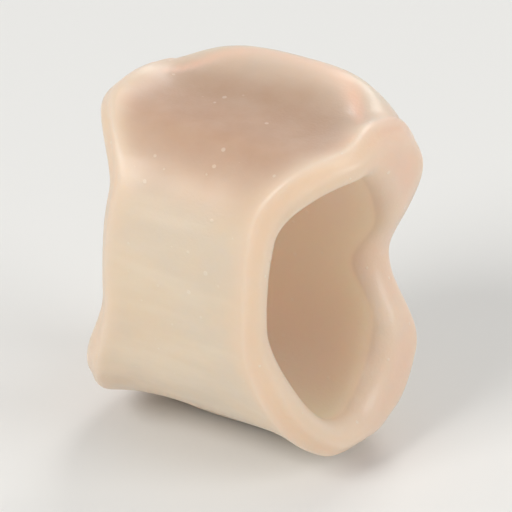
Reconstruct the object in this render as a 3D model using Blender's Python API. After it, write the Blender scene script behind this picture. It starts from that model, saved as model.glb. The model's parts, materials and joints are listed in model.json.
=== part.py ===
"""A moulded gel toe separator: a loop for the little toe, with a pad that sits between it and the next toe.

The frame is the one it is worn in: +Z up, +X along the little toe to its tip, and +Y to the next toe,
with the origin in the middle of the flat under the lower flange. The loop, the pad and the flanges are
one moulding. It is a loft round the toe hole: at each angle one rounded section runs from the wall of
the hole to the outline of the body. A scoop in the top makes a dish of the upper flange.
"""

import math

import bmesh
import bpy
import numpy as np

MM = 0.001

# The toe hole, seen along the toe: an oval, where an exponent of 2 is an ellipse and a higher one is squarer
HOLE_WIDTH = 8.8 * MM
HOLE_HEIGHT = 15.6 * MM
HOLE_EXPONENT = 2.2

# The loop's wall, and the pad between the toes, which reaches above and below the middle of the hole
LOOP_WALL = 1.6 * MM
PAD_WAIST = 4.0 * MM
FLANGE_REACH = 2.3 * MM
FLANGE_THICKNESS = 10.5 * MM
BODY_ABOVE = 11.7 * MM
BODY_BELOW = 13.0 * MM
PAD_EXPONENT = 2.4
NEXT_TOE_RADIUS = 11.0 * MM
LOOP_FILLET = 4.0 * MM
FLANGE_TIP_ROUND = 1.8 * MM

# The scoop in the top, which leaves the upper flange's edge standing behind it
SCOOP_RADIUS = 7.5 * MM
SCOOP_ACROSS = 1.6 * MM
SCOOP_WALL = 1.95 * MM
SCOOP_ROUND = 1.6 * MM

# Widths along the toe
BAND_WIDTH = 11.4 * MM
FLANGE_WIDTH = 18.2 * MM
WAIST_WIDTH = 14.6 * MM

# The rims stand up beside the band and the scoop, and the flanges' edges fall away like a petal's
BAND_RIM_RISE = 0.3 * MM
DISH_RIM_RISE = 0.6 * MM
FLANGE_RIM_RISE = 0.7 * MM
DISH_DROP = 2.2 * MM
PETAL_DROP = 3.0 * MM
WAIST_DROP = 0.6 * MM
EDGE_RADIUS = 1.5 * MM
EDGE_SHARE = 0.46

# The flat that it rests on, cut this far up the lower flange
FOOT_CUT = 1.0 * MM

# Fineness of the loft
STEPS_ROUND = 72
STEPS_FACE = 9
STEPS_CORNER = 4
STEPS_SEARCH = 720
HALVINGS = 50

GEL_COLOUR = (0.72, 0.60, 0.48, 1.0)
GEL_ROUGHNESS = 0.35

# How each size changes round the ring, from the pad's waist (0 degrees) to the loop's far side (180)
UPPER_WIDTH_STOPS = [
    (0, WAIST_WIDTH / 2),
    (45, FLANGE_WIDTH / 2),
    (86, FLANGE_WIDTH / 2),
    (130, BAND_WIDTH / 2),
    (180, BAND_WIDTH / 2),
]
LOWER_WIDTH_STOPS = [
    (0, WAIST_WIDTH / 2),
    (45, FLANGE_WIDTH / 2),
    (86, FLANGE_WIDTH / 2),
    (172, BAND_WIDTH / 2),
    (180, BAND_WIDTH / 2),
]
UPPER_RISE_STOPS = [(0, 0.0), (64, 0.0), (104, DISH_RIM_RISE), (130, BAND_RIM_RISE), (180, BAND_RIM_RISE)]
UPPER_DROP_STOPS = [(0, WAIST_DROP), (60, DISH_DROP), (112, 0.0), (180, 0.0)]
LOWER_RISE_STOPS = [(0, 0.0), (62, 0.0), (104, FLANGE_RIM_RISE), (172, BAND_RIM_RISE), (180, BAND_RIM_RISE)]
LOWER_DROP_STOPS = [(0, WAIST_DROP), (60, PETAL_DROP), (100, 0.0), (180, 0.0)]


def clear_scene():
    for old in list(bpy.data.objects):
        bpy.data.objects.remove(old, do_unlink=True)


def new_collection(name):
    made = bpy.data.collections.new(name)
    bpy.context.scene.collection.children.link(made)
    return made


def gel_material():
    made = bpy.data.materials.new("milky gel")
    made.use_nodes = True
    shader = made.node_tree.nodes["Principled BSDF"]
    shader.inputs["Base Color"].default_value = GEL_COLOUR
    shader.inputs["Roughness"].default_value = GEL_ROUGHNESS
    shader.inputs["Metallic"].default_value = 0.0
    return made


def eased(fold, stops):
    """The value at this angle, eased between stops of (degrees from the pad's waist, value)."""
    for (start, first), (end, last) in zip(stops, stops[1:]):
        if fold <= end:
            share = (fold - start) / (end - start)
            share = share * share * (3 - 2 * share)
            return first + (last - first) * share
    return stops[-1][1]


def smooth_max(a, b, radius):
    share = min(max(0.5 + 0.5 * (a - b) / radius, 0.0), 1.0)
    return b + (a - b) * share + radius * share * (1 - share)


def smooth_min(a, b, radius):
    return -smooth_max(-a, -b, radius)


def oval_level(y, z, half_width, half_height, exponent):
    """About the distance outside a rounded oval, and below 0 inside it."""
    across = abs(y) / half_width
    along = abs(z) / half_height
    return ((across**exponent + along**exponent) ** (1 / exponent) - 1) * half_width


def hole_level(y, z):
    return oval_level(y, z, HOLE_WIDTH / 2, HOLE_HEIGHT / 2, HOLE_EXPONENT)


def body_level(y, z):
    """The outline seen along the toe: the loop's oval, joined to the pad's, less the hollow for the next toe."""
    loop = oval_level(y, z, HOLE_WIDTH / 2 + LOOP_WALL, HOLE_HEIGHT / 2 + LOOP_WALL, HOLE_EXPONENT)
    waist_y = HOLE_WIDTH / 2 + PAD_WAIST
    pad_y = waist_y + FLANGE_REACH - FLANGE_THICKNESS / 2
    pad_height = BODY_ABOVE if z > 0 else BODY_BELOW
    pad = oval_level(y - pad_y, z, FLANGE_THICKNESS / 2, pad_height, PAD_EXPONENT)
    hollow = NEXT_TOE_RADIUS - math.hypot(y - waist_y - NEXT_TOE_RADIUS, z)
    return smooth_max(smooth_min(loop, pad, LOOP_FILLET), hollow, FLANGE_TIP_ROUND)


def scooped_level(y, z):
    """The outline along the middle of the part, where the scoop is deepest."""
    scoop_z = HOLE_HEIGHT / 2 + SCOOP_WALL + SCOOP_RADIUS
    scoop = SCOOP_RADIUS - math.hypot(y - SCOOP_ACROSS, z - scoop_z)
    return smooth_max(body_level(y, z), scoop, SCOOP_ROUND)


def radius_where(level, angle):
    """How far a ray from the hole's centre goes before it leaves the shape."""
    near = 0.0
    far = BODY_ABOVE + BODY_BELOW
    for _ in range(HALVINGS):
        middle = (near + far) / 2
        if level(middle * math.cos(angle), middle * math.sin(angle)) < 0:
            near = middle
        else:
            far = middle
    return near


def section(fold, upper, thickness, scoop):
    """One section of the ring as (place along the toe, height above the wall of the hole), a closed loop."""
    half = eased(fold, UPPER_WIDTH_STOPS if upper else LOWER_WIDTH_STOPS)
    rise = eased(fold, UPPER_RISE_STOPS if upper else LOWER_RISE_STOPS)
    drop = eased(fold, UPPER_DROP_STOPS if upper else LOWER_DROP_STOPS)
    edge_height = thickness + rise - drop
    corner = min(EDGE_RADIUS, EDGE_SHARE * edge_height)
    flat_half = half - corner
    outer = []
    for place in np.linspace(-flat_half, flat_half, STEPS_FACE):
        share = abs(place) / flat_half
        outer.append((place, thickness + rise * share**4 - drop * share**3 - scoop * (1 - share**4)))
    quarter = np.radians(np.linspace(0, 90, STEPS_CORNER + 1))
    upper = [(flat_half + corner * math.sin(q), edge_height - corner * (1 - math.cos(q))) for q in quarter]
    lower = [(flat_half + corner * math.cos(q), corner * (1 - math.sin(q))) for q in quarter]
    inner = [(place, 0.0) for place in np.linspace(flat_half, -flat_half, STEPS_FACE)[1:-1]]
    edge = upper[1:] + lower
    return outer + edge + inner + [(-place, height) for place, height in edge[::-1]]


def ring_points():
    """The sections all round the hole, as rows of points."""
    rows = []
    for step in range(STEPS_ROUND):
        angle = 2 * math.pi * step / STEPS_ROUND
        fold = abs(math.degrees(math.remainder(angle, 2 * math.pi)))
        upper = angle < math.pi
        wall = radius_where(hole_level, angle)
        outline = radius_where(body_level, angle)
        scoop = outline - radius_where(scooped_level, angle)
        row = []
        for place, height in section(fold, upper, outline - wall, scoop):
            reach = wall + height
            row.append((place, reach * math.cos(angle), reach * math.sin(angle)))
        rows.append(row)
    return rows


def ring_mesh():
    rows = ring_points()
    shape = bmesh.new()
    grid = [[shape.verts.new(point) for point in row] for row in rows]
    for row, next_row in zip(grid, grid[1:] + grid[:1]):
        for near, far in zip(range(len(row)), list(range(1, len(row))) + [0]):
            shape.faces.new((row[near], row[far], next_row[far], next_row[near]))
    bmesh.ops.recalc_face_normals(shape, faces=shape.faces)
    mesh = bpy.data.meshes.new("gel_separator")
    shape.to_mesh(mesh)
    shape.free()
    mesh.shade_smooth()
    return mesh


def foot_middle():
    """How far the middle of the foot's flat lies from the hole's centre, towards the next toe."""
    below = []
    for step in range(STEPS_SEARCH):
        angle = 2 * math.pi * step / STEPS_SEARCH
        reach = radius_where(body_level, angle)
        if reach * math.sin(angle) < FOOT_CUT - BODY_BELOW:
            below.append(reach * math.cos(angle))
    return (min(below) + max(below)) / 2


def make_separator(parts, cutters):
    """The moulding, stood on its lower flange, which a cutter trims to a small flat."""
    separator = bpy.data.objects.new("gel_separator", ring_mesh())
    parts.objects.link(separator)
    separator.data.materials.append(gel_material())
    separator.location = (0, -foot_middle(), BODY_BELOW - FOOT_CUT)

    side = 2 * (BODY_ABOVE + BODY_BELOW)
    bpy.ops.mesh.primitive_cube_add(size=side, location=(0, 0, -side / 2))
    floor = bpy.context.object
    floor.name = "floor_cutter"
    for home in list(floor.users_collection):
        home.objects.unlink(floor)
    cutters.objects.link(floor)
    floor.hide_render = True
    floor.display_type = "WIRE"

    cut = separator.modifiers.new("flat foot", "BOOLEAN")
    cut.operation = "DIFFERENCE"
    cut.solver = "EXACT"
    cut.object = floor
    return separator


def main():
    clear_scene()
    parts = new_collection("toe separator")
    cutters = new_collection("cutters")
    make_separator(parts, cutters)


main()
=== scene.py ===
# %% [markdown]
# # A gel toe separator
# The real thing is one soft moulding of milky gel. A loop goes round the little toe, and a pad with an
# upper and a lower flange sits between that toe and the next one. The packed CAD model has its form and
# its size, and this lesson gives it a finer skin, a translucent gel, a pale floor and soft light.
# Lengths are in metres, with +Z up as it is worn, +X along the little toe to its tip, and +Y to the
# next toe.

# %% Load the frame
import json
import math

import bpy
import numpy as np
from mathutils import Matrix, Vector, noise

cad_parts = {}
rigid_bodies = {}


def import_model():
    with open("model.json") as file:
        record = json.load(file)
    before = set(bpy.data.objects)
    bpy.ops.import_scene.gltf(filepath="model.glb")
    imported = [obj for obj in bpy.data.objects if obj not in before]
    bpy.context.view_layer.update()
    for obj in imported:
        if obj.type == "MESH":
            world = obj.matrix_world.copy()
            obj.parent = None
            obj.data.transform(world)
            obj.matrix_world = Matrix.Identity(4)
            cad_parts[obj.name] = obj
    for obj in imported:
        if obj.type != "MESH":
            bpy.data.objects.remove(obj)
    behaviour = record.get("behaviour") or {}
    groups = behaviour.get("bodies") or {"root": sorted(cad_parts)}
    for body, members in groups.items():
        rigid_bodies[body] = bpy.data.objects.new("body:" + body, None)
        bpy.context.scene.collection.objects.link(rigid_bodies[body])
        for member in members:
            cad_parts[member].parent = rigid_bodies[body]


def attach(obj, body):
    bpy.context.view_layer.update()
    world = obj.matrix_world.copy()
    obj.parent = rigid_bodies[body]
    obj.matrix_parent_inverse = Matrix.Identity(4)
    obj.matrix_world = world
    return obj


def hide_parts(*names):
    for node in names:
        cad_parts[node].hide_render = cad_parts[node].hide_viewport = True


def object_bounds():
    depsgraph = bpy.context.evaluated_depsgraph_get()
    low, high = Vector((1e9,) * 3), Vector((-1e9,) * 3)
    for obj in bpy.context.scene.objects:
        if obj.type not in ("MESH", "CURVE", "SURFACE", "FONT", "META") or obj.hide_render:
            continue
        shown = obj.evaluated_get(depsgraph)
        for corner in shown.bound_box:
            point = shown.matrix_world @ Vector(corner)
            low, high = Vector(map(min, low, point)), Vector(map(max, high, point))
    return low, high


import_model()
MM = 0.001
cad_low, cad_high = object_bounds()
cad_size = cad_high - cad_low
print("CAD box, mm:", [round(side / MM, 2) for side in cad_size])

# %% [markdown]
# ## Where the camera stands
# The separator is only a small patch of the photograph, so the camera keeps the photograph's viewing
# angle and comes closer. A long lens keeps the faint perspective of a picture that is taken from far
# away: a wide lens near something this small would swell its front. Azimuth 0 looks along +Y.

# %% The camera
VIEW_AZIMUTH = math.radians(32)
VIEW_ELEVATION = math.radians(28)
LENS = 300.0
SENSOR = 36.0
VIEW_WIDTH = 31 * MM
AIM_RIGHT = 0.6 * MM
AIM_UP = 0.3 * MM
NEAREST_SEEN = 1 / 20

view_back = Vector(
    (
        math.sin(VIEW_AZIMUTH) * math.cos(VIEW_ELEVATION),
        -math.cos(VIEW_AZIMUTH) * math.cos(VIEW_ELEVATION),
        math.sin(VIEW_ELEVATION),
    )
)
view_right = Vector((math.cos(VIEW_AZIMUTH), math.sin(VIEW_AZIMUTH), 0))
view_up = view_back.cross(view_right)
view_distance = VIEW_WIDTH * LENS / SENSOR
aim = (cad_low + cad_high) / 2 + view_right * AIM_RIGHT + view_up * AIM_UP
camera_data = bpy.data.cameras.new("camera")
camera_data.lens = LENS
camera_data.sensor_width = SENSOR
camera_data.clip_start = view_distance * NEAREST_SEEN
camera = bpy.data.objects.new("camera", camera_data)
camera.location = aim + view_back * view_distance
camera.rotation_euler = (-view_back).to_track_quat("-Z", "Y").to_euler()
bpy.context.scene.collection.objects.link(camera)
bpy.context.scene.camera = camera
print("camera stands off, mm:", round(view_distance / MM))

# %% [markdown]
# ## Shapes that melt together
# Seen along the toe, the separator is an oval hole inside a bean, with no crease anywhere. Curves could
# be drawn for it by hand, but each fillet would need its own. Here each shape is written as a level
# instead, which is 0 on the outline and below 0 inside. Levels can be joined with a smooth maximum or
# minimum, and the fillets come by themselves. In an oval, an exponent of 2 gives an ellipse, and a
# higher one is squarer.

# %% Smooth joins and ovals
def smooth_max(a, b, radius):
    share = np.clip(0.5 + 0.5 * (a - b) / radius, 0.0, 1.0)
    return b + (a - b) * share + radius * share * (1 - share)


def smooth_min(a, b, radius):
    return -smooth_max(-a, -b, radius)


def oval_level(y, z, half_width, half_height, exponent):
    across = np.abs(y) / half_width
    along = np.abs(z) / half_height
    return ((across**exponent + along**exponent) ** (1 / exponent) - 1) * half_width


print("two equal levels, joined over 1 mm, rise by, mm:", round(float(smooth_max(0, 0, MM)) / MM, 2))

# %% [markdown]
# ## The hole
# The hole is an upright oval, as wide and as high as the relaxed loop lies by itself.

# %% The hole's level
HOLE_WIDTH = 8.8 * MM
HOLE_HEIGHT = 15.6 * MM
HOLE_EXPONENT = 2.2


def hole_level(y, z):
    return oval_level(y, z, HOLE_WIDTH / 2, HOLE_HEIGHT / 2, HOLE_EXPONENT)


print("level in the middle of the hole, mm:", round(float(hole_level(0, 0)) / MM, 2))

# %% [markdown]
# ## The loop and the pad
# The loop's oval runs round the hole, and the pad's oval stands beside it. They are run together with a
# soft fillet, and the next toe presses a round hollow into the pad's far side. The pad reaches further
# below the hole's middle than above it, so its oval has one height above and another below.

# %% The body's level
LOOP_WALL = 1.6 * MM
PAD_WAIST = 4.0 * MM
FLANGE_REACH = 2.3 * MM
FLANGE_THICKNESS = 10.5 * MM
BODY_ABOVE = 11.7 * MM
BODY_BELOW = 13.0 * MM
PAD_EXPONENT = 2.4
NEXT_TOE_RADIUS = 11.0 * MM
LOOP_FILLET = 4.0 * MM
FLANGE_TIP_ROUND = 1.8 * MM


def body_level(y, z):
    loop = oval_level(y, z, HOLE_WIDTH / 2 + LOOP_WALL, HOLE_HEIGHT / 2 + LOOP_WALL, HOLE_EXPONENT)
    waist_y = HOLE_WIDTH / 2 + PAD_WAIST
    pad_y = waist_y + FLANGE_REACH - FLANGE_THICKNESS / 2
    pad_height = np.where(z > 0, BODY_ABOVE, BODY_BELOW)
    pad = oval_level(y - pad_y, z, FLANGE_THICKNESS / 2, pad_height, PAD_EXPONENT)
    hollow = NEXT_TOE_RADIUS - np.hypot(y - waist_y - NEXT_TOE_RADIUS, z)
    return smooth_max(smooth_min(loop, pad, LOOP_FILLET), hollow, FLANGE_TIP_ROUND)


print("level at the pad's waist, mm:", round(float(body_level(HOLE_WIDTH / 2 + PAD_WAIST, 0)) / MM, 2))

# %% [markdown]
# ## The scoop
# A round scoop in the top thins the gel over the hole, and leaves the upper flange's edge standing
# behind it. It is the same kind of join as the hollow, with its own radius and its own soft rim.

# %% The scooped level
SCOOP_RADIUS = 7.5 * MM
SCOOP_ACROSS = 1.6 * MM
SCOOP_WALL = 1.95 * MM
SCOOP_ROUND = 1.6 * MM


def scooped_level(y, z):
    scoop_z = HOLE_HEIGHT / 2 + SCOOP_WALL + SCOOP_RADIUS
    scoop = SCOOP_RADIUS - np.hypot(y - SCOOP_ACROSS, z - scoop_z)
    return smooth_max(body_level(y, z), scoop, SCOOP_ROUND)


print("scoop's lowest point over the hole's middle, mm:", round((HOLE_HEIGHT / 2 + SCOOP_WALL) / MM, 2))

# %% [markdown]
# ## How far the outline is from the hole's centre
# A ray goes out from the hole's centre at each angle, and the place where it leaves the shape is found
# by halving. That gives points at even angles, however the ovals are joined. The upper and the lower
# half of the ring both run from the pad's waist to the loop's far side, so sizes go by the folded
# angle, in degrees: 0 at the waist, and 180 at the far side.

# %% Rays
STEPS_ROUND = 300
HALVINGS = 50
angles = 2 * math.pi * np.arange(STEPS_ROUND) / STEPS_ROUND
fold = np.degrees(np.minimum(angles, 2 * math.pi - angles))
upper = angles < math.pi


def radius_where(level, at_angles):
    near = np.zeros_like(at_angles)
    far = np.full_like(at_angles, BODY_ABOVE + BODY_BELOW)
    for _ in range(HALVINGS):
        middle = (near + far) / 2
        inside = level(middle * np.cos(at_angles), middle * np.sin(at_angles)) < 0
        near = np.where(inside, middle, near)
        far = np.where(inside, far, middle)
    return near


wall = radius_where(hole_level, angles)
outline = radius_where(body_level, angles)
thickness = outline - wall
scoop_depth = outline - radius_where(scooped_level, angles)
print("thinnest wall, mm:", round((thickness - scoop_depth).min() / MM, 2))
print("scoop, mm deep:", round(scoop_depth.max() / MM, 2))

# %% [markdown]
# ## The sizes of the cross sections
# Seen from outside, the loop is a band whose two rims stand up, and the flanges are wider than the band.
# So each section of the ring has its own half width, rim height and fall to the edge, written as stops
# of an angle from the waist and a size. The upper flange is a shallow dish, with rims along both of its
# sides, and the lower one falls away at its sides like a petal.

# %% Stops round the ring
BAND_WIDTH = 11.4 * MM
FLANGE_WIDTH = 18.2 * MM
WAIST_WIDTH = 14.6 * MM
BAND_RIM_RISE = 0.3 * MM
DISH_RIM_RISE = 0.6 * MM
FLANGE_RIM_RISE = 0.7 * MM
DISH_DROP = 2.2 * MM
PETAL_DROP = 3.0 * MM
WAIST_DROP = 0.6 * MM
DISH_WIDTH_STOPS = [
    (0, WAIST_WIDTH / 2),
    (45, FLANGE_WIDTH / 2),
    (86, FLANGE_WIDTH / 2),
    (130, BAND_WIDTH / 2),
    (180, BAND_WIDTH / 2),
]
PETAL_WIDTH_STOPS = [
    (0, WAIST_WIDTH / 2),
    (45, FLANGE_WIDTH / 2),
    (86, FLANGE_WIDTH / 2),
    (172, BAND_WIDTH / 2),
    (180, BAND_WIDTH / 2),
]
DISH_RISE_STOPS = [
    (0, 0.0),
    (64, 0.0),
    (104, DISH_RIM_RISE),
    (130, BAND_RIM_RISE),
    (180, BAND_RIM_RISE),
]
PETAL_RISE_STOPS = [
    (0, 0.0),
    (62, 0.0),
    (104, FLANGE_RIM_RISE),
    (172, BAND_RIM_RISE),
    (180, BAND_RIM_RISE),
]
DISH_DROP_STOPS = [(0, WAIST_DROP), (60, DISH_DROP), (112, 0.0), (180, 0.0)]
PETAL_DROP_STOPS = [(0, WAIST_DROP), (60, PETAL_DROP), (100, 0.0), (180, 0.0)]
band_begins = (DISH_WIDTH_STOPS[3][0], PETAL_WIDTH_STOPS[3][0])
print("the band begins above and below at, degrees from the waist:", band_begins)

# %% [markdown]
# ## A size for each section
# Between two stops a size is eased, with a gentle start and end, because a straight change would show as
# a kink in the skin's reflections. The corners between the outer face and the sides are rounded, by less
# where a section is low.

# %% Sections round the ring
EDGE_RADIUS = 1.5 * MM
EDGE_SHARE = 0.46


def ease(share):
    """A share from 0 to 1, with a gentle start and end."""
    share = np.clip(share, 0.0, 1.0)
    return share * share * (3 - 2 * share)


def eased(stops):
    """The value at each of the ring's angles, eased between stops of (degrees from the waist, value)."""
    values = np.full_like(fold, stops[-1][1])
    for (start, first), (end, last) in reversed(list(zip(stops, stops[1:]))):
        share = ease((fold - start) / (end - start))
        values = np.where(fold <= end, first + (last - first) * share, values)
    return values


half = np.where(upper, eased(DISH_WIDTH_STOPS), eased(PETAL_WIDTH_STOPS))
rise = np.where(upper, eased(DISH_RISE_STOPS), eased(PETAL_RISE_STOPS))
drop = np.where(upper, eased(DISH_DROP_STOPS), eased(PETAL_DROP_STOPS))
edge_height = thickness + rise - drop
corner = np.minimum(EDGE_RADIUS, EDGE_SHARE * edge_height)
flat_half = half - corner
print("band, flange and waist, mm wide:", [round(2 * half[at] / MM, 1) for at in (150, 60, 0)])

# %% [markdown]
# ## The outer face
# Every section starts with a row of points across the outer face. The rim's rise, the fall to the edge
# and the scoop each follow a power of the distance from the middle, and a higher power keeps the middle
# flat for longer. Numpy works on all the sections at once, as one grid of points.

# %% The outer face
STEPS_FACE = 41
RISE_POWER = 4
DROP_POWER = 3
SCOOP_POWER = 4
face_share = np.linspace(-1, 1, STEPS_FACE)


def column(values):
    """One value for each section, to be used at all of its points."""
    return values[:, None]


outer_place = column(flat_half) * face_share
outer_height = column(thickness) + column(rise) * face_share**RISE_POWER
outer_height = outer_height - column(drop) * np.abs(face_share) ** DROP_POWER
outer_height = outer_height - column(scoop_depth) * (1 - face_share**SCOOP_POWER)
print("outer face, mm high:", round(outer_height.min() / MM, 2), "to", round(outer_height.max() / MM, 2))

# %% [markdown]
# ## The edges, the hole's wall, and the whole skin
# From the outer face each section goes on round a rounded edge, back along the wall of the hole, and up
# the other edge, so that it is one closed loop. All the loops have the same number of points, so the
# skin is one regular grid that closes on itself both ways.

# %% The grid
STEPS_CORNER = 10
quarter = np.radians(np.linspace(0, 90, STEPS_CORNER + 1))
upper_place = column(flat_half) + column(corner) * np.sin(quarter)
upper_height = column(edge_height) - column(corner) * (1 - np.cos(quarter))
lower_place = column(flat_half) + column(corner) * np.cos(quarter)
lower_height = column(corner) * (1 - np.sin(quarter))
edge_place = np.hstack([upper_place[:, 1:], lower_place])
edge_rise = np.hstack([upper_height[:, 1:], lower_height])
inner_place = outer_place[:, ::-1][:, 1:-1]
inner_height = np.zeros_like(inner_place)
place = np.hstack([outer_place, edge_place, inner_place, -edge_place[:, ::-1]])
height = np.hstack([outer_height, edge_rise, inner_height, edge_rise[:, ::-1]])
STEPS_SECTION = place.shape[1]
reach = column(wall) + height
grid = np.stack([place, reach * column(np.cos(angles)), reach * column(np.sin(angles))], axis=-1)
print("grid:", grid.shape, "=", grid.shape[0] * grid.shape[1], "points")

# %% [markdown]
# ## Rims that are thickened
# The rims of the band and the flanges are thickened into a bead, so that the thin gel doesn't tear. How
# thick the bead is at a point goes by how far the point is from the middle of its edge. The dish's far
# lip has a softer bead, half as high. It follows an angle from the waist, in degrees, which grows
# towards both ends, so that the lip curves round and fades into the rims along the dish's sides.

# %% Rim bead
BEAD_WIDTH = 0.62 * MM
FAR_OFF = 1.0
LIP_ANGLE = 56.5
LIP_CURVE = 20.0
LIP_CURVE_POWER = 4
LIP_FADE_POWER = 8
LIP_WIDTH = 3.4
LIP_SHARE = 0.5

middle_of_edge = math.pi / 4
from_face = column(flat_half) - np.abs(outer_place) + column(corner) * middle_of_edge
from_upper = column(corner) * np.abs(quarter[1:] - middle_of_edge)
from_lower = column(corner) * (quarter + middle_of_edge)
from_edge = np.hstack([from_upper, from_lower])
wall_of_hole = np.full_like(inner_place, FAR_OFF)
edge_distance = np.hstack([from_face, from_edge, wall_of_hole, from_edge[:, ::-1]])


def lip_of(width):
    """The far lip of the dish, which curves round to meet the rims along its sides."""
    crest = LIP_ANGLE + LIP_CURVE * face_share**LIP_CURVE_POWER
    ridge = np.exp(-(((column(fold) - crest) / width) ** 2))
    lip = np.zeros_like(place)
    lip[:, :STEPS_FACE] = ridge * column(upper) * (1 - face_share**LIP_FADE_POWER)
    return lip


bead = np.exp(-((edge_distance / BEAD_WIDTH) ** 2))
bead = np.maximum(bead, LIP_SHARE * lip_of(LIP_WIDTH))
print("bead covers", round(float(bead.mean()), 2), "of the points")

# %% [markdown]
# ## The waves of a soft moulding
# A soft moulding is never quite true, so slow waves of a tenth of a millimetre go over all of it, with
# finer ripples on them, and the reflections bend as they do on real gel. The bead and the waves are
# added up as one push for each point.

# %% Waves
BEAD_HEIGHT = 0.24 * MM
WAVE_HEIGHT = 0.11 * MM
WAVE_LENGTH = 6.0 * MM
WAVE_SEED = 3.7
RIPPLE_HEIGHT = 0.03 * MM
RIPPLE_LENGTH = 2.2 * MM
RIPPLE_SEED = 9.1


def waves(points, length, seed):
    """Smooth noise of about -1 to 1 at every point of a grid."""
    flat = points.reshape(-1, 3) / length + seed
    values = [noise.noise(Vector(point)) for point in flat]
    return np.array(values).reshape(points.shape[:2])


push = BEAD_HEIGHT * bead
push = push + WAVE_HEIGHT * waves(grid, WAVE_LENGTH, WAVE_SEED)
push = push + RIPPLE_HEIGHT * waves(grid, RIPPLE_LENGTH, RIPPLE_SEED)
print("bead and waves, mm:", round(push.min() / MM, 2), "to", round(push.max() / MM, 2))

# %% [markdown]
# ## The gate mark
# On the face towards the next toe there is a small round nub, trimmed flush, where the gel ran into the
# mould. It is a low disc with a dimple in its middle. It joins the push of the bead and the waves, and
# then each point moves by its push along the skin's own normal.

# %% Gate mark, and the finished skin
GATE_ANGLE = math.radians(-24)
GATE_RADIUS = 0.75 * MM
GATE_HEIGHT = 0.16 * MM
GATE_SOFTNESS = 0.22 * MM
GATE_DIMPLE = 0.3 * MM


def normals_of(points):
    """The outward normals of a grid that closes both ways."""
    round_ring = np.roll(points, -1, axis=0) - np.roll(points, 1, axis=0)
    round_section = np.roll(points, -1, axis=1) - np.roll(points, 1, axis=1)
    across = np.cross(round_section, round_ring)
    return across / np.linalg.norm(across, axis=-1, keepdims=True)


gate_row = int(round(GATE_ANGLE % (2 * math.pi) / (2 * math.pi) * STEPS_ROUND))
gate_spot = grid[gate_row, STEPS_FACE // 2]
gate_distance = np.linalg.norm(grid - gate_spot, axis=-1)
gate_disc = ease(1 - np.clip((gate_distance - GATE_RADIUS) / GATE_SOFTNESS + 0.5, 0.0, 1.0))
gate_dimple = np.exp(-((gate_distance / GATE_DIMPLE) ** 2))
push = push + GATE_HEIGHT * (gate_disc - gate_dimple)
skin = grid + normals_of(grid) * push[..., None]
print("pushed out, mm:", round(push.min() / MM, 2), "to", round(push.max() / MM, 2))

# %% [markdown]
# ## The foot that it stands on
# The CAD solid is trimmed flat where it rests, for the gel settles a little there. Here the lowest
# points are eased up to the floor with the same smooth maximum, which rounds the edge of the flat. The
# middle of that flat is the origin of the frame.

# %% Stand it on the floor
FOOT_CUT = 1.0 * MM
FOOT_ROUND = 0.5 * MM
FOOT_FLATNESS = 0.01 * MM
STEPS_SEARCH = 720

search = 2 * math.pi * np.arange(STEPS_SEARCH) / STEPS_SEARCH
search_reach = radius_where(body_level, search)
below = search_reach * np.sin(search) < FOOT_CUT - BODY_BELOW
foot_y = (search_reach * np.cos(search))[below]
foot_middle = (foot_y.min() + foot_y.max()) / 2
stand = np.array([0, -foot_middle, BODY_BELOW - FOOT_CUT])
skin = skin + stand
skin[..., 2] = smooth_max(skin[..., 2], 0.0, FOOT_ROUND)
foot_points = skin[skin[..., 2] < FOOT_FLATNESS]
print("foot, mm:", [round(float(np.ptp(foot_points[:, axis])) / MM, 1) for axis in (0, 1)])

# %% [markdown]
# ## Where each finish goes
# The material has to know which points are rim, dish or hole, for the painted highlight on the rims, the
# painted shade in the dish and the painted light on the hole's wall. A painted picture could say that, but
# the grid already knows it, so each answer goes on the mesh as a number from 0 to 1 for every point, and
# the material's nodes read it by name. The dish begins between two angles from the waist, in degrees,
# and ends between two more, and the width of the painted highlight on its lip is in degrees too. Along
# the sides, the painted highlight of the rims covers more than their bead.

# %% Masks
DISH_FROM = (53.0, 72.0)
DISH_TO = (90.0, 140.0)
DISH_EDGE_POWER = 6
RIM_MASK_WIDTH = 1.3 * MM
SIDE_MASK_WIDTH = 2.8 * MM
LIP_MASK_WIDTH = 3.0


def between(values, low, high):
    """0 below low, 1 above high, and eased between them."""
    return ease((values - low) / (high - low))


outer_face = np.zeros(STEPS_SECTION)
outer_face[:STEPS_FACE] = 1 - np.abs(face_share) ** DISH_EDGE_POWER
mask_width = np.full(STEPS_SECTION, SIDE_MASK_WIDTH)
mask_width[:STEPS_FACE] = RIM_MASK_WIDTH
# The rim mask places a painted highlight: the rims and the dish's far lip are coloured paler and pinker.
rim_highlight_mask = np.maximum(np.exp(-((edge_distance / mask_width) ** 2)), lip_of(LIP_MASK_WIDTH))
# The dish mask places a painted shade: the dish is coloured darker.
dish_shade_mask = column(between(fold, *DISH_FROM) * (1 - between(fold, *DISH_TO)) * upper) * outer_face
# The hole mask places painted light: the hole's wall is coloured paler, for light through the thin gel.
hole_light_mask = np.zeros_like(place)
hole_light_mask[:, STEPS_FACE + 2 * STEPS_CORNER : -2 * STEPS_CORNER] = 1.0
masks = {"rim_highlight": rim_highlight_mask, "dish_shade": dish_shade_mask, "hole_light": hole_light_mask}
for name, values in masks.items():
    print(name, "covers", round(float(values.mean()), 2))

# %% [markdown]
# ## The mesh
# The grid's points become one closed mesh of four-sided faces, which shade smoothly. It rides on the
# only body, and it stands for the CAD solid, which stays for the collisions.

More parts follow.
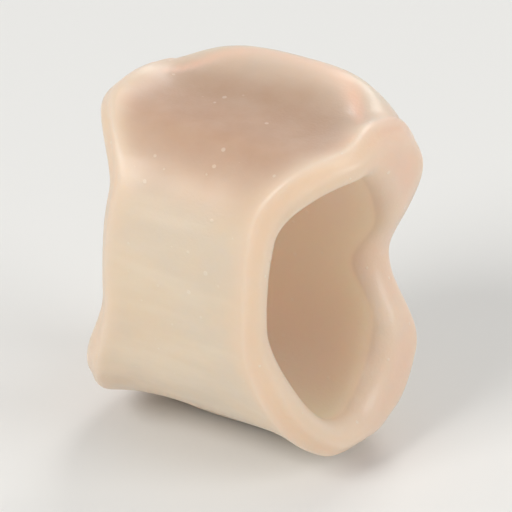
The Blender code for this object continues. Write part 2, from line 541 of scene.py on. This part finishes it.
# %% Build the gel body
corner_ids = np.arange(STEPS_ROUND * STEPS_SECTION).reshape(STEPS_ROUND, STEPS_SECTION)
next_row = np.roll(corner_ids, -1, axis=0)
around = [corner_ids, next_row, np.roll(next_row, -1, axis=1), np.roll(corner_ids, -1, axis=1)]
faces = np.stack(around, -1)
mesh = bpy.data.meshes.new("gel_body")
mesh.from_pydata(skin.reshape(-1, 3).tolist(), [], faces.reshape(-1, 4).tolist())
mesh.shade_smooth()
for name, values in masks.items():
    attribute = mesh.attributes.new(name, "FLOAT", "POINT")
    attribute.data.foreach_set("value", values.ravel().astype(np.float32))
gel_body = bpy.data.objects.new("gel_body", mesh)
bpy.context.scene.collection.objects.link(gel_body)
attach(gel_body, "root")
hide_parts("gel_separator")
print("gel body:", len(mesh.polygons), "faces")
print("first normal:", [round(part, 2) for part in mesh.polygons[0].normal])

# %% [markdown]
# ## Sums on sockets
# A material that varies is a sum of masks and noises. Written as Python, `1 - rim * 0.5` is easier to
# read than a chain of nodes, so this small class wraps a socket and adds the nodes for each sum. Its
# one method for other nodes takes their type, settings and sockets.

# %% A socket that does sums
MIX_A = 6
MIX_B = 7
MIX_RESULT = 2


class Shade:
    def __init__(self, tree, socket=None):
        self.tree = tree
        self.socket = socket

    def node(self, kind, settings=None, sockets=None, output=0):
        made = self.tree.nodes.new(kind)
        for name, value in (settings or {}).items():
            setattr(made, name, value)
        for name, value in (sockets or {}).items():
            if isinstance(value, Shade):
                self.tree.links.new(value.socket, made.inputs[name])
            else:
                made.inputs[name].default_value = value
        return Shade(self.tree, made.outputs[output])

    def maths(self, operation, *values):
        return self.node("ShaderNodeMath", {"operation": operation}, dict(enumerate(values)))

    def __add__(self, other):
        return self.maths("ADD", self, other)

    def __mul__(self, other):
        return self.maths("MULTIPLY", self, other)

    def __sub__(self, other):
        return self.maths("SUBTRACT", self, other)

    def __rsub__(self, other):
        return self.maths("SUBTRACT", other, self)

    __radd__ = __add__
    __rmul__ = __mul__

    def between(self, low, high):
        """0 below low, 1 above high, and eased between them."""
        settings = {"interpolation_type": "SMOOTHSTEP"}
        return self.node("ShaderNodeMapRange", settings, {"Value": self, "From Min": low, "From Max": high})

    def tint(self, colour, other):
        """One colour where this mask is 0, and the other where it is 1."""
        sockets = {0: self, MIX_A: colour, MIX_B: other}
        return self.node("ShaderNodeMix", {"data_type": "RGBA"}, sockets, MIX_RESULT)

    def into(self, shader, name):
        self.tree.links.new(self.socket, shader.inputs[name])


print("a socket can do:", [name for name in vars(Shade) if not name.startswith("__")])

# %% [markdown]
# ## The colours of milky gel
# The gel is a soft clear rubber, clouded so that light goes in a few millimetres and comes out again.
# The rims are paler and a little pink, which is a painted highlight. The dish is darker, which is a
# painted shade, because less light falls into a hollow. The hole's wall is paler, which is painted light
# for the light that comes through the thin gel. The band beside it is a warm beige. Colours are written
# as a screen shows them, and turned into the linear numbers that light is worked out in.

# %% Colours
def from_screen(*parts):
    """A colour as linear numbers, from the 0 to 255 of a screen."""
    values = [part / 255 for part in parts]
    return (*[v / 12.92 if v <= 0.04045 else ((v + 0.055) / 1.055) ** 2.4 for v in values], 1.0)


BAND_COLOUR = from_screen(232, 212, 190)
CLOUD_COLOUR = from_screen(227, 212, 194)
# Painted highlight on the rims and the dish's far lip.
RIM_HIGHLIGHT_COLOUR = from_screen(241, 207, 184)
# Painted shade in the dish.
DISH_SHADE_COLOUR = from_screen(192, 157, 130)
# Painted light on the hole's wall, for light that comes through the thin gel.
HOLE_LIGHT_COLOUR = from_screen(246, 228, 208)
MILK_COLOUR = from_screen(240, 224, 206)
BUBBLE_COLOUR = from_screen(246, 236, 224)
print("band colour, linear:", [round(part, 3) for part in BAND_COLOUR[:3]])

# %% [markdown]
# ## The material's start
# The material starts from the mesh: each point's place, which is the same wherever the camera stands,
# and the three masks.

# %% Start the material
gel = bpy.data.materials.new("milky gel")
gel.use_nodes = True
shader = gel.node_tree.nodes["Principled BSDF"]
start = Shade(gel.node_tree)
spot = start.node("ShaderNodeTexCoord", output="Object")


def mask(name):
    return start.node("ShaderNodeAttribute", {"attribute_name": name}, output="Fac")


rim_highlight = mask("rim_highlight")
dish_shade = mask("dish_shade")
hole_light = mask("hole_light")
print("nodes at the start:", len(gel.node_tree.nodes))

# %% [markdown]
# ## Patterns in the gel
# Milky gel is never even: it has cloudy patches of a few millimetres, faint streaks where it flowed
# into the mould, tiny bubbles, and a grain that the mould leaves on its skin. Noises of different
# sizes make the patches, streaks and grain. The bubbles are round cells, of which the random colour
# picks a few and sets their size.

# %% Patterns
CLOUD_SIZE = 4.0 * MM
CLOUD_DETAIL = 3.0
CLOUD_RANGE = (0.35, 0.65)
PATCH_SIZE = 1.8 * MM
GRAIN_SIZE = 0.16 * MM
GRAIN_DETAIL = 2.0
STREAK_SIZE = 1.6 * MM
STREAK_DETAIL = 4.0
STREAK_RANGE = (0.4, 0.75)
STREAK_STRETCH = (0.25, 1.0, 1.0)
BUBBLE_SPACING = 1.0 * MM
BUBBLE_SIZE = 0.17
BUBBLE_SOFTNESS = 0.05


def noisy(size, detail, where=spot):
    sockets = {"Vector": where, "Scale": 1 / size, "Detail": detail}
    return start.node("ShaderNodeTexNoise", sockets=sockets, output="Fac")


cloud = noisy(CLOUD_SIZE, CLOUD_DETAIL).between(*CLOUD_RANGE)
patch = noisy(PATCH_SIZE, CLOUD_DETAIL)
grain = noisy(GRAIN_SIZE, GRAIN_DETAIL)
stretched = start.node("ShaderNodeVectorMath", {"operation": "MULTIPLY"}, {0: spot, 1: STREAK_STRETCH})
streak = noisy(STREAK_SIZE, STREAK_DETAIL, stretched).between(*STREAK_RANGE)
cells = {"Vector": spot, "Scale": 1 / BUBBLE_SPACING}
cell_distance = start.node("ShaderNodeTexVoronoi", sockets=cells, output="Distance")
cell_colour = start.node("ShaderNodeTexVoronoi", sockets=cells, output="Color")
cell_chance = start.node("ShaderNodeSeparateColor", sockets={"Color": cell_colour}, output="Red")
bubble = (cell_chance * BUBBLE_SIZE - cell_distance).between(0.0, BUBBLE_SOFTNESS)
print("nodes with the patterns:", len(gel.node_tree.nodes))

# %% [markdown]
# ## Colour and gloss
# The patterns and masks lay one colour over another, from the band's beige to the bubbles. The patches
# vary how strongly the dish's painted shade and the rims' painted highlight are laid on, so that no
# border is a clean line. Real gel has a satin skin with a faint oily bloom on it, which is what the
# roughness and the thin coat vary.

# %% Colour and gloss
STREAK_SHARE = 0.5
DISH_SHARE = 0.75
DISH_PATCHES = 0.4
RIM_SHARE = 0.7
RIM_PATCHES = 0.5
BUBBLE_SHARE = 0.35
ROUGHNESS = 0.30
PATCH_ROUGHNESS = 0.22
GRAIN_ROUGHNESS = 0.06
RIM_SHINE = 0.06
COAT = 0.15
CLOUD_COAT = 0.2

colour = cloud.tint(BAND_COLOUR, CLOUD_COLOUR)
colour = (streak * STREAK_SHARE).tint(colour, MILK_COLOUR)
# Painted light: the hole's wall is paler.
colour = hole_light.tint(colour, HOLE_LIGHT_COLOUR)
# Painted shade: the dish is darker.
colour = (dish_shade * (DISH_SHARE + patch * DISH_PATCHES)).tint(colour, DISH_SHADE_COLOUR)
# Painted highlight: the rims and the far lip are paler and pinker.
colour = (rim_highlight * (RIM_SHARE + patch * RIM_PATCHES)).tint(colour, RIM_HIGHLIGHT_COLOUR)
colour = (bubble * BUBBLE_SHARE).tint(colour, BUBBLE_COLOUR)
colour.into(shader, "Base Color")
roughness = ROUGHNESS + patch * PATCH_ROUGHNESS + grain * GRAIN_ROUGHNESS - rim_highlight * RIM_SHINE
roughness.into(shader, "Roughness")
(COAT + cloud * CLOUD_COAT).into(shader, "Coat Weight")
print("nodes with colour and gloss:", len(gel.node_tree.nodes))

# %% [markdown]
# ## Skin and depth
# A bump of a few hundredths of a millimetre gives the skin its fine texture. Subsurface scattering
# lets light go in and come out again, more of the red than of the blue, which warms the thin parts. A
# little transmission keeps the gel clear at its thin edges. These numbers are the same all over, so
# they go on the shader's own sockets.

# %% Skin and depth
GRAIN_BUMP = 0.35
PATCH_BUMP = 1.0
BUBBLE_BUMP = 0.5
BUMP_STRENGTH = 0.6
BUMP_DEPTH = 0.06 * MM
GEL_DEPTH = 4.0 * MM
DEPTH_BY_COLOUR = (1.0, 0.82, 0.66)
GEL_CLEARNESS = 0.1
GEL_IOR = 1.44
COAT_ROUGHNESS = 0.22
COAT_IOR = 1.4

bumps = grain * GRAIN_BUMP + patch * PATCH_BUMP + bubble * BUBBLE_BUMP
bump_sockets = {"Height": bumps, "Strength": BUMP_STRENGTH, "Distance": BUMP_DEPTH}
skin_bump = start.node("ShaderNodeBump", sockets=bump_sockets, output="Normal")
skin_bump.into(shader, "Normal")

shader.inputs["Subsurface Weight"].default_value = 1.0
shader.inputs["Subsurface Radius"].default_value = DEPTH_BY_COLOUR
shader.inputs["Subsurface Scale"].default_value = GEL_DEPTH
shader.inputs["Transmission Weight"].default_value = GEL_CLEARNESS
shader.inputs["IOR"].default_value = GEL_IOR
shader.inputs["Coat Roughness"].default_value = COAT_ROUGHNESS
shader.inputs["Coat IOR"].default_value = COAT_IOR
gel_body.data.materials.append(gel)
print("gel nodes:", len(gel.node_tree.nodes))

# %% [markdown]
# ## A pale floor
# The floor is a wide plain disc that the separator stands on. It isn't part of the object.

# %% Floor
FLOOR_RADIUS = 0.9
FLOOR_SIDES = 96

round_floor = [2 * math.pi * step / FLOOR_SIDES for step in range(FLOOR_SIDES)]
edge_points = [(FLOOR_RADIUS * math.cos(turn), FLOOR_RADIUS * math.sin(turn), 0) for turn in round_floor]
floor_mesh = bpy.data.meshes.new("floor")
floor_mesh.from_pydata(edge_points, [], [list(range(FLOOR_SIDES))])
floor = bpy.data.objects.new("floor", floor_mesh)
bpy.context.scene.collection.objects.link(floor)
print("floor, m across:", 2 * FLOOR_RADIUS)

# %% [markdown]
# ## The floor's paint
# The floor is a little off white, so that the pale rims still show against it. Near the separator it is
# lit by the lamps and takes the shadow. Further off it would sink into the dark beyond the lamps, so
# there the camera sees the same pale colour as a plain glow, which puts no light on the gel.

# %% Floor paint
FLOOR_COLOUR = from_screen(236, 236, 234)
FLOOR_ROUGHNESS = 0.9
FLOOR_SHINE = 0.2
FLOOR_LIT_TO = 0.05
FLOOR_GLOWS_FROM = 0.16
PLAIN_GLOW = 1.0
SEEN_WAYS = ("Camera", "Glossy", "Transmission")


def seen_directly(begin):
    """1 for what the camera sees, also in a reflection or through the gel, and 0 for light."""
    seen = [begin.node("ShaderNodeLightPath", output=f"Is {way} Ray") for way in SEEN_WAYS]
    return (seen[0] + seen[1] + seen[2]).between(0.0, 1.0)


floor_paint = bpy.data.materials.new("pale floor")
floor_paint.use_nodes = True
floor_shader = floor_paint.node_tree.nodes["Principled BSDF"]
floor_shader.inputs["Base Color"].default_value = FLOOR_COLOUR
floor_shader.inputs["Roughness"].default_value = FLOOR_ROUGHNESS
floor_shader.inputs["Specular IOR Level"].default_value = FLOOR_SHINE
begin = Shade(floor_paint.node_tree)
floor_spot = begin.node("ShaderNodeTexCoord", output="Object")
away = begin.node("ShaderNodeVectorMath", {"operation": "LENGTH"}, {0: floor_spot}, "Value")
far = away.between(FLOOR_LIT_TO, FLOOR_GLOWS_FROM)
glow = begin.node("ShaderNodeEmission", sockets={"Color": FLOOR_COLOUR, "Strength": PLAIN_GLOW})
lit = Shade(floor_paint.node_tree, floor_shader.outputs["BSDF"])
both = begin.node("ShaderNodeMixShader", sockets={0: far * seen_directly(begin), 1: lit, 2: glow})
both.into(floor_paint.node_tree.nodes["Material Output"], "Surface")
floor.data.materials.append(floor_paint)
print("floor nodes:", len(floor_paint.node_tree.nodes))

# %% [markdown]
# ## Soft light
# A big key lamp stands in front, a little to the left, and high enough to leave the dish in a soft
# shade. A wide fill stands on the right, and a lamp behind shines through the thin gel as daylight
# does. Each lamp is a disc that faces the separator, placed by its azimuth and elevation in degrees.

# %% Lamps
def lamp(name, azimuth, elevation, distance, size, power, tint):
    turn = math.radians(azimuth)
    lift = math.radians(elevation)
    away = Vector((math.sin(turn) * math.cos(lift), -math.cos(turn) * math.cos(lift), math.sin(lift)))
    data = bpy.data.lights.new(name, "AREA")
    data.shape = "DISK"
    data.size = size
    data.energy = power
    data.color = tint
    light = bpy.data.objects.new(name, data)
    light.location = aim + away * distance
    light.rotation_euler = (-away).to_track_quat("-Z", "Y").to_euler()
    bpy.context.scene.collection.objects.link(light)


lamp("key", azimuth=-20, elevation=40, distance=0.45, size=0.22, power=1.0, tint=(1.0, 0.99, 0.97))
lamp("fill", azimuth=95, elevation=28, distance=0.5, size=0.3, power=0.8, tint=(1.0, 0.995, 0.99))
lamp("behind", azimuth=190, elevation=42, distance=0.45, size=0.2, power=0.5, tint=(1.0, 0.98, 0.95))

# %% [markdown]
# ## The room
# The world adds an even light from all round, and shows the camera the floor's own colour, so that no
# horizon is seen. The plain Standard view keeps the colours as they are written.

# %% World
SKY_COLOUR = from_screen(240, 240, 240)
SKY_STRENGTH = 0.45

world = bpy.data.worlds.new("room")
bpy.context.scene.world = world
world.use_nodes = True
sky = world.node_tree.nodes["Background"]
sky.inputs["Color"].default_value = SKY_COLOUR
sky.inputs["Strength"].default_value = SKY_STRENGTH
begin = Shade(world.node_tree)
pale = begin.node("ShaderNodeBackground", sockets={"Color": FLOOR_COLOUR, "Strength": PLAIN_GLOW})
even = Shade(world.node_tree, sky.outputs["Background"])
both = begin.node("ShaderNodeMixShader", sockets={0: seen_directly(begin), 1: even, 2: pale})
both.into(world.node_tree.nodes["World Output"], "Surface")
bpy.context.scene.view_settings.view_transform = "Standard"
print("world nodes:", len(world.node_tree.nodes))

# %% [markdown]
# ## The end
